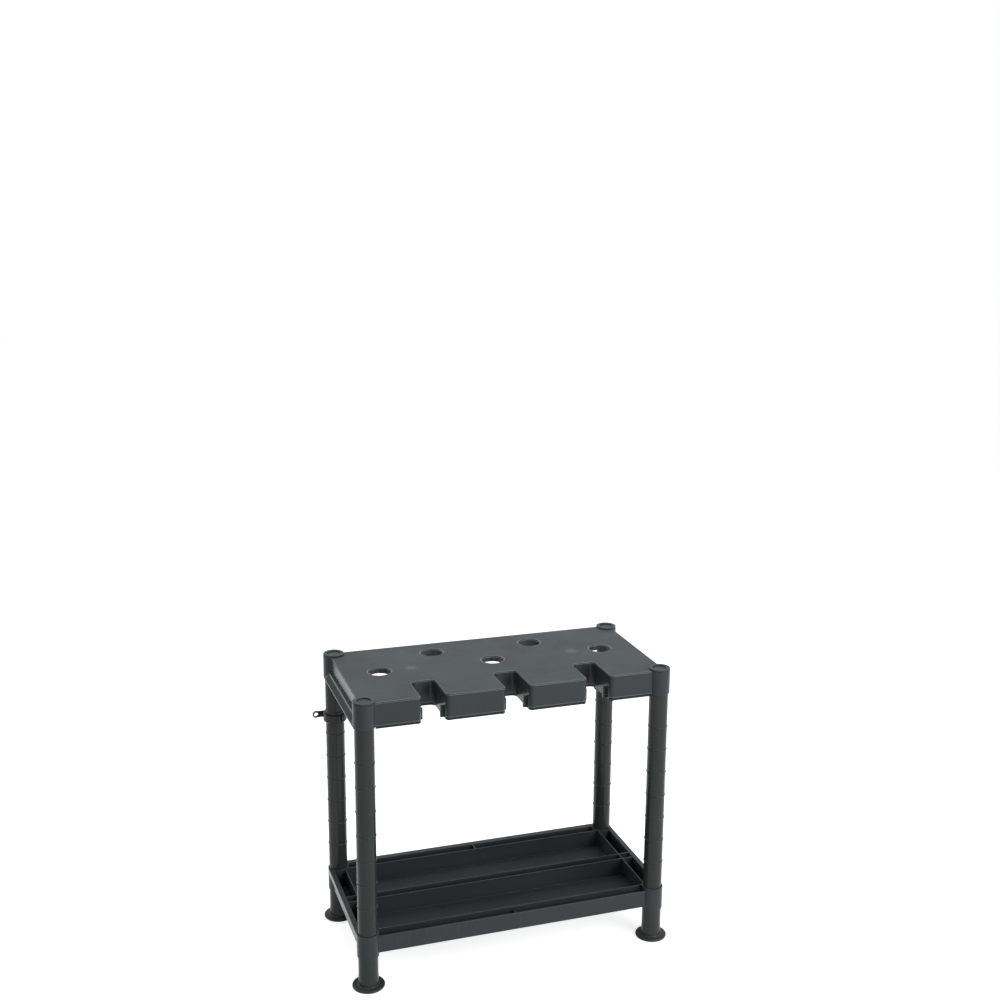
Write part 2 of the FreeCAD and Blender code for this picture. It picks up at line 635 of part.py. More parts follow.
# A split collar round a rear post, with an ear that takes a screw into a wall behind the rack.
def makeLeftTie():
    label = "wall_tie_left"
    body = newBody(label, f"-{POST_X}", POST_Y, f"{TOP_BEAD} - tie_drop - tie_height")
    ring = newSketch(body, "tie_ring")
    addCircle(ring, "0", "0", "tie_diameter")
    pad(body, ring, "tie_height")
    dress(body, "Chamfer", "Size", "tie_edge_chamfer", ringEdges(body, "tie_diameter", "0"))

    alongX = "cos(tie_gap_angle)"
    alongY = "-sin(tie_gap_angle)"

    # A plan rectangle at a distance along the split's direction and to its left.
    def besideGap(sketch, inner, outer, start, stop):
        places = ((inner, start), (outer, start), (outer, stop), (inner, stop))
        addOutline(sketch, [
            (f"({r}) * {alongX} + ({side}) * ({alongY})", f"({r}) * ({alongY}) - ({side}) * {alongX}")
            for r, side in places
        ])

    end = newSketch(body, "tie_end")
    inner = "tie_diameter / 2 - tie_end_depth"
    outer = "tie_diameter / 2 + tie_end_depth"
    besideGap(end, inner, outer, "tie_gap / 2", "tie_gap / 2 + tie_end_width")
    pad(body, end, "tie_height")
    bar = newSketch(body, "ear_bar", "XZ_Plane", "-tie_diameter / 2")
    low = "tie_height / 2 - ear_width / 2"
    high = "tie_height / 2 + ear_width / 2"
    addRectangle(bar, "-ear_reach", "0", low, high)
    pad(body, bar, "ear_thickness")
    roundEnd = newSketch(body, "ear_end", "XZ_Plane", "-tie_diameter / 2")
    addCircle(roundEnd, "-ear_reach", "tie_height / 2", "ear_end_diameter")
    pad(body, roundEnd, "ear_thickness")
    panel = newSketch(body, "ear_panel", "XZ_Plane", "ear_thickness - tie_diameter / 2")
    addRectangle(
        panel,
        "ear_end_diameter / 2 + ear_rim - ear_reach",
        "-tie_diameter / 2",
        f"{low} + ear_rim",
        f"{high} - ear_rim",
    )
    cut(body, panel, "ear_panel_depth", upward=False)
    screw = newSketch(body, "screw_hole", "XZ_Plane", "-tie_diameter / 2")
    addCircle(screw, "-ear_reach", "tie_height / 2", "screw_hole_diameter")
    cut(body, screw, "ear_thickness")
    bore = newSketch(body, "tie_bore")
    addCircle(bore, "0", "0", "post_diameter + 2 * tie_clearance")
    cut(body, bore, "tie_height")
    split = newSketch(body, "tie_split")
    besideGap(split, "0", "tie_diameter", "-tie_gap / 2", "tie_gap / 2")
    cut(body, split, "tie_height")
    return body


# The right-hand tie is the left-hand one's mirror image.
def makeRightTie(left):
    tie = doc.addObject("Part::Mirroring", "wall_tie_right")
    tie.Label = "wall_tie_right"
    tie.Source = left
    tie.Normal = Vector(1, 0, 0)
    doc.recompute()


makeShelf()
makeTray()
for place in CORNERS:
    makePost(*place)
    makeFoot(*place)
    makeCap(*place)
makeRightTie(makeLeftTie())
doc.recompute()

for item in doc.Objects:
    if "Invalid" in item.State or "Error" in item.State:
        raise ValueError(f"{item.Name} failed: {item.State}")

pieces = [item for item in doc.Objects if item.TypeId in ("PartDesign::Body", "Part::Mirroring")]
for piece in pieces:
    shape = piece.Shape
    if shape.isNull() or not shape.isValid() or len(shape.Solids) != 1:
        raise ValueError(f"{piece.Label} isn't one valid solid")

os.makedirs("parts", exist_ok=True)
for piece in pieces:
    piece.Shape.exportStep(f"parts/{piece.Label}.step")
    box = piece.Shape.BoundBox
    print(f"{piece.Label}: {box.XLength:.1f} x {box.YLength:.1f} x {box.ZLength:.1f} mm")
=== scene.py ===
import math
import bmesh
import bpy
from mathutils import Matrix, Vector


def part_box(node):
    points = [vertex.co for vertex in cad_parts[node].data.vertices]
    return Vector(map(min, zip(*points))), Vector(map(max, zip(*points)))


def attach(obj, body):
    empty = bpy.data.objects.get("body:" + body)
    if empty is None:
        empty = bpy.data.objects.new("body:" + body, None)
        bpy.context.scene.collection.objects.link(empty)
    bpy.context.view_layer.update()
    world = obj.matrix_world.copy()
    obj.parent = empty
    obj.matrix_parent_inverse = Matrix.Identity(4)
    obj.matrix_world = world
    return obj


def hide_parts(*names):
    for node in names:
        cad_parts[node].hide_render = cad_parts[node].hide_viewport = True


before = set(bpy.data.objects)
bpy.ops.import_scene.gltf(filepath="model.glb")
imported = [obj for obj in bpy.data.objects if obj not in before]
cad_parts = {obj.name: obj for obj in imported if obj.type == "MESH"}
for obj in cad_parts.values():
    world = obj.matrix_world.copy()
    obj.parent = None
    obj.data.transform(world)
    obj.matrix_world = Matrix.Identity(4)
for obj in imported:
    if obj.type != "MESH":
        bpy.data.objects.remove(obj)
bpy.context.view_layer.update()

corners = ("front_left", "front_right", "rear_left", "rear_right")
rackBody = "rack"
postAxis = {"x": 0.3, "y": 0.14, "socketRadius": 0.0216}  # at the rear right, the others are mirrored
roundHoles = {"outerX": 0.234, "innerX": 0.106, "frontY": 0.014, "rearY": 0.094}

print("frame loaded")


def newGroup(name, inputs, outputs):
    group = bpy.data.node_groups.new(name, "ShaderNodeTree")
    for label, default in inputs:
        socket = group.interface.new_socket(name=label, in_out="INPUT", socket_type="NodeSocketFloat")
        socket.default_value = default
    for label in outputs:
        group.interface.new_socket(name=label, in_out="OUTPUT", socket_type="NodeSocketFloat")
    return group, group.nodes.new("NodeGroupInput"), group.nodes.new("NodeGroupOutput")


# Links a socket to another, or sets its value.
def fillSocket(tree, socket, source):
    if isinstance(source, bpy.types.NodeSocket):
        tree.links.new(source, socket)
    elif source is not None:
        socket.default_value = source


def addMath(tree, operation, first, second=None, clamp=False):
    node = tree.nodes.new("ShaderNodeMath")
    node.operation = operation
    node.use_clamp = clamp
    fillSocket(tree, node.inputs[0], first)
    fillSocket(tree, node.inputs[1], second)
    return node.outputs[0]


# One operation over several sources in turn.
def foldMath(tree, operation, result, *sources, clamp=False):
    for source in sources[:-1]:
        result = addMath(tree, operation, result, source)
    return addMath(tree, operation, result, sources[-1], clamp=clamp)


def addNoise(tree, vector, scale, detail=4.0, roughness=0.5):
    node = tree.nodes.new("ShaderNodeTexNoise")
    tree.links.new(vector, node.inputs["Vector"])
    for label, source in (("Scale", scale), ("Detail", detail), ("Roughness", roughness)):
        fillSocket(tree, node.inputs[label], source)
    return node.outputs["Fac"]


def addRange(tree, source, low, high, start=0.0, stop=1.0):
    node = tree.nodes.new("ShaderNodeMapRange")
    tree.links.new(source, node.inputs["Value"])
    for label, number in (("From Min", low), ("From Max", high), ("To Min", start), ("To Max", stop)):
        node.inputs[label].default_value = number
    return node.outputs["Result"]


def objectPoint(tree, stretch=(1, 1, 1)):
    place = tree.nodes.new("ShaderNodeTexCoord").outputs["Object"]
    mapping = tree.nodes.new("ShaderNodeMapping")
    mapping.inputs["Scale"].default_value = stretch
    tree.links.new(place, mapping.inputs["Vector"])
    return mapping.outputs["Vector"]


def objectAxes(tree):
    place = tree.nodes.new("ShaderNodeSeparateXYZ")
    tree.links.new(tree.nodes.new("ShaderNodeTexCoord").outputs["Object"], place.inputs[0])
    return place.outputs["X"], place.outputs["Y"], place.outputs["Z"]


# How far a source is from a value, whichever side it is on.
def addGap(tree, source, value):
    return addMath(tree, "ABSOLUTE", addMath(tree, "SUBTRACT", source, value))


# The offset from a place that is mirrored left and right, or front and rear.
def addMirrored(tree, source, value):
    return addMath(tree, "SUBTRACT", addMath(tree, "ABSOLUTE", source), value)


def addDistance(tree, across, along):
    acrossSquare = addMath(tree, "MULTIPLY", across, across)
    alongSquare = addMath(tree, "MULTIPLY", along, along)
    return addMath(tree, "SQRT", addMath(tree, "ADD", acrossSquare, alongSquare))


# Distance from the nearest post's axis.
def addPostDistance(tree, x, y, source):
    across = addMirrored(tree, x, source.outputs["Post X"])
    along = addMirrored(tree, y, source.outputs["Post Y"])
    return addDistance(tree, across, along)


# How far a face looks up: 0 upright, 1 flat.
def addUpward(tree, low, high):
    facing = tree.nodes.new("ShaderNodeSeparateXYZ")
    tree.links.new(tree.nodes.new("ShaderNodeTexCoord").outputs["Normal"], facing.inputs[0])
    return addRange(tree, facing.outputs["Z"], low, high)


# What the six plastics share. Each of their looks changes some of it. A pair, here and in the
# dicts below, is where a mask begins and where it is full. Four values are a pair and what the
# mask says there.
plainLook = {
    "darkColour": (53, 58, 60),
    "lightColour": (57, 62, 64),
    # pale plastic for wear and scratches, also the colour of the painted highlights
    "wornAndHighlightColour": (118, 125, 127),
    "dustAndTopTintColour": (118, 140, 144),
    "shadeColour": (28, 31, 32),
    "toneRange": (0.3, 0.7),
    "roughness": 0.24,
    "roughSpread": 0.03,
    "topRoughness": 0.5,
    "flatRange": (0.6, 0.97),
    "ior": 1.47,
    "specular": 0.2,
    "grainScale": 900.0,
    "grainDepth": 0.00001,
    "flowScale": 9.0,
    "edgeWearAndHighlight": 0.45,
    "edgePolish": 0.12,
    "dustAndTint": 0.08,
    "dustAndTintPatches": 11.0,
    "dustRoughness": 0.3,
    "scratches": 0.12,
    "scratchDepth": 1.5,
}


mouldGrain = {"fineShare": 0.6, "pebbleScale": 0.6, "pebbleShare": 0.4}


# Fine texture of the mould, and slow changes of tone where the plastic flowed.
def makeGrain():
    inputs = (("Scale", plainLook["grainScale"]), ("Flow", plainLook["flowScale"]))
    tree, source, result = newGroup("mouldGrain", inputs, ("Height", "Tone"))
    point = objectPoint(tree)
    fine = addNoise(tree, point, source.outputs["Scale"], detail=3.0, roughness=0.6)
    pebble = tree.nodes.new("ShaderNodeTexVoronoi")
    tree.links.new(point, pebble.inputs["Vector"])
    pebbleScale = addMath(tree, "MULTIPLY", source.outputs["Scale"], mouldGrain["pebbleScale"])
    tree.links.new(pebbleScale, pebble.inputs["Scale"])
    fineHeight = addMath(tree, "MULTIPLY", fine, mouldGrain["fineShare"])
    pebbleHeight = addMath(tree, "MULTIPLY", pebble.outputs["Distance"], mouldGrain["pebbleShare"])
    tree.links.new(addMath(tree, "ADD", fineHeight, pebbleHeight), result.inputs["Height"])
    tone = addNoise(tree, point, source.outputs["Flow"], detail=5.0, roughness=0.55)
    tree.links.new(tone, result.inputs["Tone"])
    return tree


edgeWearAndHighlight = {"breakup": 60.0, "radius": 0.0014, "samples": 4, "bend": (0.01, 0.22), "patches": (0.38, 0.66)}


# Paler plastic along edges: partly wear that use has rubbed, partly painted highlights on the rounded
# edges.
def makeEdgeWearAndHighlight():
    inputs = (("Breakup", edgeWearAndHighlight["breakup"]), ("Amount", plainLook["edgeWearAndHighlight"]))
    tree, source, result = newGroup("edgeWearAndHighlight", inputs, ("Mask",))
    bevel = tree.nodes.new("ShaderNodeBevel")
    bevel.samples = edgeWearAndHighlight["samples"]
    bevel.inputs["Radius"].default_value = edgeWearAndHighlight["radius"]
    dot = tree.nodes.new("ShaderNodeVectorMath")
    dot.operation = "DOT_PRODUCT"
    tree.links.new(bevel.outputs["Normal"], dot.inputs[0])
    tree.links.new(tree.nodes.new("ShaderNodeNewGeometry").outputs["Normal"], dot.inputs[1])
    edge = addRange(tree, addMath(tree, "SUBTRACT", 1.0, dot.outputs["Value"]), *edgeWearAndHighlight["bend"])
    breakup = addNoise(tree, objectPoint(tree), source.outputs["Breakup"], detail=4.0, roughness=0.6)
    patches = addRange(tree, breakup, *edgeWearAndHighlight["patches"])
    mask = foldMath(tree, "MULTIPLY", edge, patches, source.outputs["Amount"], clamp=True)
    tree.links.new(mask, result.inputs["Mask"])
    return tree


skirtLine = {
    "rebate": 0.5850,
    "step": 0.5400,
    "stepRear": 0.13,  # behind this Y the skirt has no step
    "flat": (0.93, 0.98),
    "lip": (-0.0010, 0.0006, 0.0002),  # offset from the rebate, then where the line fades and is full
    "rim": (0.0012, 0.0006, 0.0001),
    "groove": (0.0, 0.0007, 0.0003),
    "stepEdge": (0.0005, 0.0008, 0.0003),  # offset from the step
    "foot": (0.0, -0.0008),
}


# Painted highlights along the edges of the shelf's skirt, at the rebate under its top and at the step near
# its foot, and painted shade in the rebate's groove and under the step. The corner sockets have none, and
# the rear has no step.
def makeSkirtLines():
    inputs = (("Rebate", skirtLine["rebate"]), ("Step", skirtLine["step"]), ("Post X", postAxis["x"]),
              ("Post Y", postAxis["y"]), ("Socket", postAxis["socketRadius"]))
    tree, source, result = newGroup("skirtLines", inputs, ("Highlight", "Shade"))
    x, y, z = objectAxes(tree)
    clear = addMath(tree, "GREATER_THAN", addPostDistance(tree, x, y, source), source.outputs["Socket"])
    overRebate = addMath(tree, "SUBTRACT", z, source.outputs["Rebate"])
    overStep = addMath(tree, "SUBTRACT", z, source.outputs["Step"])
    lines = {}
    for height, names in ((overRebate, ("lip", "rim", "groove")), (overStep, ("stepEdge",))):
        for name in names:
            offset, fade, full = skirtLine[name]
            lines[name] = addRange(tree, addGap(tree, height, offset), fade, full)
    foot = addRange(tree, overStep, *skirtLine["foot"])
    stepped = addMath(tree, "LESS_THAN", y, skirtLine["stepRear"])
    stepHighlight = addMath(tree, "MULTIPLY", lines["stepEdge"], stepped)
    highlight = foldMath(tree, "MAXIMUM", lines["lip"], lines["rim"], stepHighlight)
    shade = addMath(tree, "MAXIMUM", lines["groove"], addMath(tree, "MULTIPLY", foot, stepped))
    upright = addMath(tree, "SUBTRACT", 1.0, addUpward(tree, *skirtLine["flat"]))
    where = addMath(tree, "MULTIPLY", clear, upright)
    tree.links.new(addMath(tree, "MULTIPLY", highlight, where), result.inputs["Highlight"])
    tree.links.new(addMath(tree, "MULTIPLY", shade, where), result.inputs["Shade"])
    return tree


shadedEndBand = {"ledgeX": 0.3146, "top": 0.5516, "bottom": 0.5413, "halfLength": 0.119}


# The splayed band low on the shelf's two ends, which is rougher than the rest and darkened with painted
# shade.
def makeShadedEndBand():
    inputs = (("Ledge X", shadedEndBand["ledgeX"]), ("Top", shadedEndBand["top"]), ("Bottom", shadedEndBand["bottom"]))
    tree, source, result = newGroup("shadedEndBand", inputs, ("Mask",))
    x, y, z = objectAxes(tree)
    outside = addMath(tree, "GREATER_THAN", addMath(tree, "ABSOLUTE", x), source.outputs["Ledge X"])
    under = addMath(tree, "LESS_THAN", z, source.outputs["Top"])
    over = addMath(tree, "GREATER_THAN", z, source.outputs["Bottom"])
    between = addMath(tree, "LESS_THAN", addMath(tree, "ABSOLUTE", y), shadedEndBand["halfLength"])
    tree.links.new(foldMath(tree, "MULTIPLY", outside, under, over, between), result.inputs["Mask"])
    return tree


dishShade = {"radius": 0.0131, "fade": 0.0013, "full": 0.0005, "patchScale": 120.0,
            "patches": (0.3, 0.6, 0.7, 1.0)}


# Painted shade in the corner of a round dish on each post axis, broken into patches.
def makeDishShade():
    inputs = (("Post X", postAxis["x"]), ("Post Y", postAxis["y"]), ("Radius", dishShade["radius"]))
    tree, source, result = newGroup("dishShade", inputs, ("Mask",))
    x, y = objectAxes(tree)[:2]
    gap = addGap(tree, addPostDistance(tree, x, y, source), source.outputs["Radius"])
    ring = addRange(tree, gap, dishShade["fade"], dishShade["full"])
    shadeNoise = addNoise(tree, objectPoint(tree), dishShade["patchScale"], detail=3.0, roughness=0.6)
    patches = addRange(tree, shadeNoise, *dishShade["patches"])
    tree.links.new(addMath(tree, "MULTIPLY", ring, patches), result.inputs["Mask"])
    return tree


rimHighlight = {"radius": 0.0245, "fade": 0.0013, "full": 0.0004, "sideways": (0.35, 0.9)}


# A painted highlight on the rounded rims of the five round holes, most on their left and right sides. The
# same mask makes the rims glossier.
def makeRimHighlight():
    inputs = (("Outer X", roundHoles["outerX"]), ("Inner X", roundHoles["innerX"]),
              ("Front Y", roundHoles["frontY"]), ("Rear Y", roundHoles["rearY"]),
              ("Rim", rimHighlight["radius"]))
    tree, source, result = newGroup("rimHighlight", inputs, ("Mask",))
    x, y = objectAxes(tree)[:2]
    rims = []
    for column, row in (("Outer X", "Front Y"), (None, "Front Y"), ("Inner X", "Rear Y")):
        across = addMirrored(tree, x, source.outputs[column] if column else 0.0)
        along = addMath(tree, "SUBTRACT", y, source.outputs[row])
        distance = addDistance(tree, across, along)
        gap = addGap(tree, distance, source.outputs["Rim"])
        ring = addRange(tree, gap, rimHighlight["fade"], rimHighlight["full"])
        share = addMath(tree, "DIVIDE", addMath(tree, "MULTIPLY", across, across),
                        addMath(tree, "MULTIPLY", distance, distance))
        rims.append(addMath(tree, "MULTIPLY", ring, addRange(tree, share, *rimHighlight["sideways"])))
    tree.links.new(foldMath(tree, "MAXIMUM", *rims), result.inputs["Mask"])
    return tree


dustAndTopTint = {"upward": (0.35, 0.95), "patches": (0.35, 0.75), "speckScale": 700.0,
            "specks": (0.45, 0.7, 0.75, 1.0)}


# Thin dust on faces that look up, thicker in soft patches. Its cyan colour is also a painted tint of the
# light on the top faces.
def makeDustAndTopTint():
    inputs = (("Patches", plainLook["dustAndTintPatches"]), ("Amount", plainLook["dustAndTint"]))
    tree, source, result = newGroup("dustAndTopTint", inputs, ("Mask",))
    upward = addUpward(tree, *dustAndTopTint["upward"])
    point = objectPoint(tree)
    drifts = addNoise(tree, point, source.outputs["Patches"], detail=6.0, roughness=0.6)
    patches = addRange(tree, drifts, *dustAndTopTint["patches"])
    grains = addNoise(tree, point, dustAndTopTint["speckScale"], detail=2.0, roughness=0.6)
    specks = addRange(tree, grains, *dustAndTopTint["specks"])
    mask = foldMath(tree, "MULTIPLY", upward, patches, specks, source.outputs["Amount"], clamp=True)
    tree.links.new(mask, result.inputs["Mask"])
    return tree


fineScratch = {"lengthways": (34, 1500, 60), "crossways": (1300, 38, 60), "upright": (1400, 1400, 30),
               "width": (0.70, 0.75), "flat": (0.4, 0.8), "areaScale": 15.0, "area": (0.5, 0.64)}


# Long thin scratches: upright on the walls, in two directions on flat faces.
def makeScratches():
    tree, source, result = newGroup("toolScratches", (("Amount", plainLook["scratches"]),), ("Mask",))
    lines = {}
    for run in ("lengthways", "crossways", "upright"):
        streak = addNoise(tree, objectPoint(tree, fineScratch[run]), scale=1.0, detail=1.0, roughness=0.4)
        lines[run] = addRange(tree, streak, *fineScratch["width"])
    flat = addUpward(tree, *fineScratch["flat"])
    level = addMath(tree, "MAXIMUM", lines["lengthways"], lines["crossways"])
    level = addMath(tree, "MULTIPLY", level, flat)
    steep = addMath(tree, "MULTIPLY", lines["upright"], addMath(tree, "SUBTRACT", 1.0, flat))
    patches = addNoise(tree, objectPoint(tree), fineScratch["areaScale"], detail=2.0, roughness=0.5)
    area = addRange(tree, patches, *fineScratch["area"])
    both = addMath(tree, "ADD", level, steep)
    mask = foldMath(tree, "MULTIPLY", both, area, source.outputs["Amount"], clamp=True)
    tree.links.new(mask, result.inputs["Mask"])
    return tree


effects = {"grain": makeGrain(), "edge": makeEdgeWearAndHighlight(), "dustAndTint": makeDustAndTopTint(), "scratch": makeScratches(),
           "skirtLines": makeSkirtLines(), "rimHighlight": makeRimHighlight(), "shadedEndBand": makeShadedEndBand(),
           "dishShade": makeDishShade()}
print("shader groups made")


# A screen colour, 0 to 255, as the linear colour that a shader takes.
def toLinear(colour):
    return tuple(((c / 255 + 0.055) / 1.055) ** 2.4 if c > 10 else c / 255 / 12.92 for c in colour) + (1.0,)


def addGroup(tree, effect, **values):
    node = tree.nodes.new("ShaderNodeGroup")
    node.node_tree = effects[effect]
    for label, number in values.items():
        node.inputs[label].default_value = number
    return node


def addMix(tree, share, first, second):
    node = tree.nodes.new("ShaderNodeMix")
    node.data_type = "RGBA"
    tree.links.new(share, node.inputs["Factor"])
    fillSocket(tree, node.inputs[6], first)  # the colour sockets are inputs 6 and 7 and output 2
    fillSocket(tree, node.inputs[7], second)
    return node.outputs[2]


# A value with a mask's share added to it.
def addShare(tree, value, mask, share, clamp=False):
    return addMath(tree, "ADD", value, addMath(tree, "MULTIPLY", mask, share), clamp=clamp)


# Shallow round gate marks, mirrored left and right. Gives the ring and the swirl round it.
def addGateMarks(tree, gate):
    x, y = objectAxes(tree)[:2]
    distance = addDistance(tree, addMirrored(tree, x, gate["x"]), addMath(tree, "SUBTRACT", y, gate["y"]))
    discs = {}
    for disc in ("outside", "inside", "swirl"):
        discs[disc] = addRange(tree, distance, *(share * gate["radius"] for share in gate[disc]))
    return addMath(tree, "SUBTRACT", discs["outside"], discs["inside"]), discs["swirl"]


def makePlastic(name, look):
    material = bpy.data.materials.new(name)
    material.use_nodes = True
    tree = material.node_tree
    shader = tree.nodes["Principled BSDF"]
    shader.inputs["IOR"].default_value = look["ior"]
    shader.inputs["Specular IOR Level"].default_value = look["specular"]
    wornAndHighlight, shaded = toLinear(look["wornAndHighlightColour"]), toLinear(look["shadeColour"])

    grain = addGroup(tree, "grain", Scale=look["grainScale"], Flow=look["flowScale"])
    edge = addGroup(tree, "edge", Amount=look["edgeWearAndHighlight"]).outputs["Mask"]
    dustAndTint = addGroup(tree, "dustAndTint", Amount=look["dustAndTint"], Patches=look["dustAndTintPatches"]).outputs["Mask"]
    scratch = addGroup(tree, "scratch", Amount=look["scratches"]).outputs["Mask"]

    tone = addRange(tree, grain.outputs["Tone"], *look["toneRange"])
    colour = addMix(tree, tone, toLinear(look["darkColour"]), toLinear(look["lightColour"]))
    # Paler edges: rubbed wear, and painted highlights on the rounded edges.
    colour = addMix(tree, edge, colour, wornAndHighlight)
    colour = addMix(tree, scratch, colour, wornAndHighlight)
    # Dust on faces that look up, in a cyan that also paints the tint of the light on the tops.
    colour = addMix(tree, dustAndTint, colour, toLinear(look["dustAndTopTintColour"]))

    smooth, coarse = look["roughness"] - look["roughSpread"], look["roughness"] + look["roughSpread"]
    rough = addRange(tree, grain.outputs["Tone"], *look["toneRange"], smooth, coarse)
    upward = addUpward(tree, *look["flatRange"])
    rough = addShare(tree, rough, upward, look["topRoughness"] - look["roughness"])
    rough = addShare(tree, rough, dustAndTint, look["dustRoughness"])
    rough = addShare(tree, rough, edge, -look["edgePolish"], clamp=True)
    height = addShare(tree, grain.outputs["Height"], scratch, -look["scratchDepth"])

    if "gateMarks" in look:
        gate = look["gateMarks"]
        ring, swirl = addGateMarks(tree, gate)
        height = addShare(tree, height, ring, -gate["depth"])
        rough = addShare(tree, rough, swirl, -gate["polish"], clamp=True)
        mark = addMath(tree, "MULTIPLY", swirl, gate["swirlShare"])
        mark = addShare(tree, mark, ring, gate["ringShare"], clamp=True)
        colour = addMix(tree, mark, colour, wornAndHighlight)
    # Painted shade in the skirt's rebate groove and under its step, and painted highlights along its edges.
    if "skirtLines" in look:
        lines = addGroup(tree, "skirtLines")
        for label, tint in (("Shade", shaded), ("Highlight", wornAndHighlight)):
            share = addMath(tree, "MULTIPLY", lines.outputs[label], look["skirtLines"])
            colour = addMix(tree, share, colour, tint)
    # Painted highlight on the hole rims, and painted shade on the shelf's end bands and in the caps'
    # dishes, each with a change of roughness.
    for effect, tint in (("rimHighlight", wornAndHighlight), ("shadedEndBand", shaded), ("dishShade", shaded)):
        if effect in look:
            share, roughening = look[effect]
            mask = addGroup(tree, effect).outputs["Mask"]
            colour = addMix(tree, addMath(tree, "MULTIPLY", mask, share), colour, tint)
            rough = addShare(tree, rough, mask, roughening, clamp=True)

    bump = tree.nodes.new("ShaderNodeBump")
    bump.inputs["Distance"].default_value = look["grainDepth"]
    tree.links.new(height, bump.inputs["Height"])
    tree.links.new(bump.outputs["Normal"], shader.inputs["Normal"])
    tree.links.new(colour, shader.inputs["Base Color"])
    tree.links.new(rough, shader.inputs["Roughness"])
    return material


gateMark = {"x": 0.170, "y": 0.014, "radius": 0.011, "outside": (1.0, 0.85), "inside": (0.35, 0.2),
            "swirl": (1.6, 0.4), "depth": 3.0, "polish": 0.08, "swirlShare": 0.16, "ringShare": 0.12}

looks = {  # the rim highlight, end band and dish marks: share of the colour, change of roughness; the first is painted highlight, the other two painted shade
    "shelf": {**plainLook, "dustAndTint": 0.22, "gateMarks": gateMark, "skirtLines": 0.9, "rimHighlight": (0.75, -0.15),
              "shadedEndBand": (0.7, 0.4)},
    "tray": {**plainLook, "edgeWearAndHighlight": 0.85, "scratches": 0.3, "dustAndTint": 0.06},
    "post": {**plainLook, "flowScale": 16.0, "darkColour": (48, 50, 50), "lightColour": (52, 54, 54)},
    "foot": {**plainLook, "darkColour": (53, 56, 56), "lightColour": (57, 60, 60), "dustAndTint": 0.06,
             "dustAndTintPatches": 40.0},
    "cap": {**plainLook, "darkColour": (60, 65, 67), "lightColour": (66, 71, 74), "edgeWearAndHighlight": 0.6,
            "dustAndTint": 0.15, "dishShade": (1.0, 0.3)},
    "tie": {**plainLook, "darkColour": (48, 46, 54), "lightColour": (54, 52, 61)},
}
plastics = {kind: makePlastic(f"{kind}Plastic", look) for kind, look in looks.items()}
print("plastics made")


softEdge = {"segments": 2, "angle": math.radians(38)}
lathe = {"cornerSegments": 4, "axisReach": 1e-7}
merging = {"distance": 1e-6, "flatAngle": math.radians(1)}


def centreOf(node):
    low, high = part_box(node)
    return (low + high) / 2


# Gives a piece its mesh, edges, finish and body.
def finishPiece(bm, name, node, kind, body, edgeWidth):
    mesh = bpy.data.meshes.new(name)
    bm.to_mesh(mesh)
    bm.free()
    for attribute in ("custom_normal", "sharp_edge", "sharp_face"):
        if attribute in mesh.attributes:
            mesh.attributes.remove(mesh.attributes[attribute])
    mesh.shade_smooth()
    mesh.materials.append(plastics[kind])
    piece = bpy.data.objects.new(name, mesh)
    bpy.context.scene.collection.objects.link(piece)
    if edgeWidth:
        bevel = piece.modifiers.new("softEdges", "BEVEL")
        bevel.width = edgeWidth
        bevel.segments = softEdge["segments"]
        bevel.limit_method = "WEIGHT"
        bevel.use_clamp_overlap = False
        bevel.miter_outer = "MITER_ARC"
    weighted = piece.modifiers.new("flatFaces", "WEIGHTED_NORMAL")
    weighted.keep_sharp = True
    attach(piece, body)
    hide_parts(node)


# Spins a closed outline of (radius, height, rounding) corners round an upright axis.
def spinOutline(bm, outline, centre, steps):
    radii, heights, roundings = zip(*outline)
    points = [bm.verts.new((radius, 0, height)) for radius, height in zip(radii, heights)]
    bm.faces.new(points)
    for point, rounding in zip(points, roundings):
        if rounding:
            bmesh.ops.bevel(
                bm,
                geom=[point],
                offset=rounding,
                affect="VERTICES",
                segments=lathe["cornerSegments"],
                profile=0.5,
                material=-1,
            )
    bmesh.ops.delete(bm, geom=list(bm.faces), context="FACES_ONLY")
    axis = [edge for edge in bm.edges if all(abs(vert.co.x) < lathe["axisReach"] for vert in edge.verts)]
    bmesh.ops.delete(bm, geom=axis, context="EDGES")
    bmesh.ops.translate(bm, verts=list(bm.verts), vec=(centre.x, centre.y, 0))
    bmesh.ops.spin(
        bm,
        geom=list(bm.verts) + list(bm.edges),
        cent=(centre.x, centre.y, 0),
        axis=(0, 0, 1),
        angle=2 * math.pi,
        steps=steps,
        use_merge=True,
    )
    bmesh.ops.remove_doubles(bm, verts=list(bm.verts), dist=merging["distance"])
    bmesh.ops.recalc_face_normals(bm, faces=list(bm.faces))


# A merged copy of a CAD node, its flat faces joined, so that its edges can be rounded.
def copyNode(node):
    bm = bmesh.new()
    bm.from_mesh(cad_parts[node].data)
    bm.edges.layers.float.new("bevel_weight_edge")  # made first: a new layer spoils sets of edges
    bmesh.ops.remove_doubles(bm, verts=list(bm.verts), dist=merging["distance"])
    verts, edges = list(bm.verts), list(bm.edges)
    bmesh.ops.dissolve_limit(bm, angle_limit=merging["flatAngle"], verts=verts, edges=edges)
    return bm


# Marks the edges that the softEdges modifier rounds.
def markEdges(bm, crisp=()):
    weight = bm.edges.layers.float["bevel_weight_edge"]
    for edge in bm.edges:
        if edge not in crisp and edge.is_manifold and edge.calc_face_angle() > softEdge["angle"]:
            edge[weight] = 1.0


def pieceName(kind, corner):
    first, second = corner.split("_")
    return kind + first.capitalize() + second.capitalize()


post = {"radius": 0.019, "wall": 0.0022, "beadRadius": 0.020, "beadWidth": 0.003, "beadFlat": 0.001,
        "beadCount": 7, "topBead": 0.467, "beadStep": 0.0494, "endRounding": 0.0006,
        "boreRounding": 0.0004, "beadRounding": 0.0003, "steps": 96}

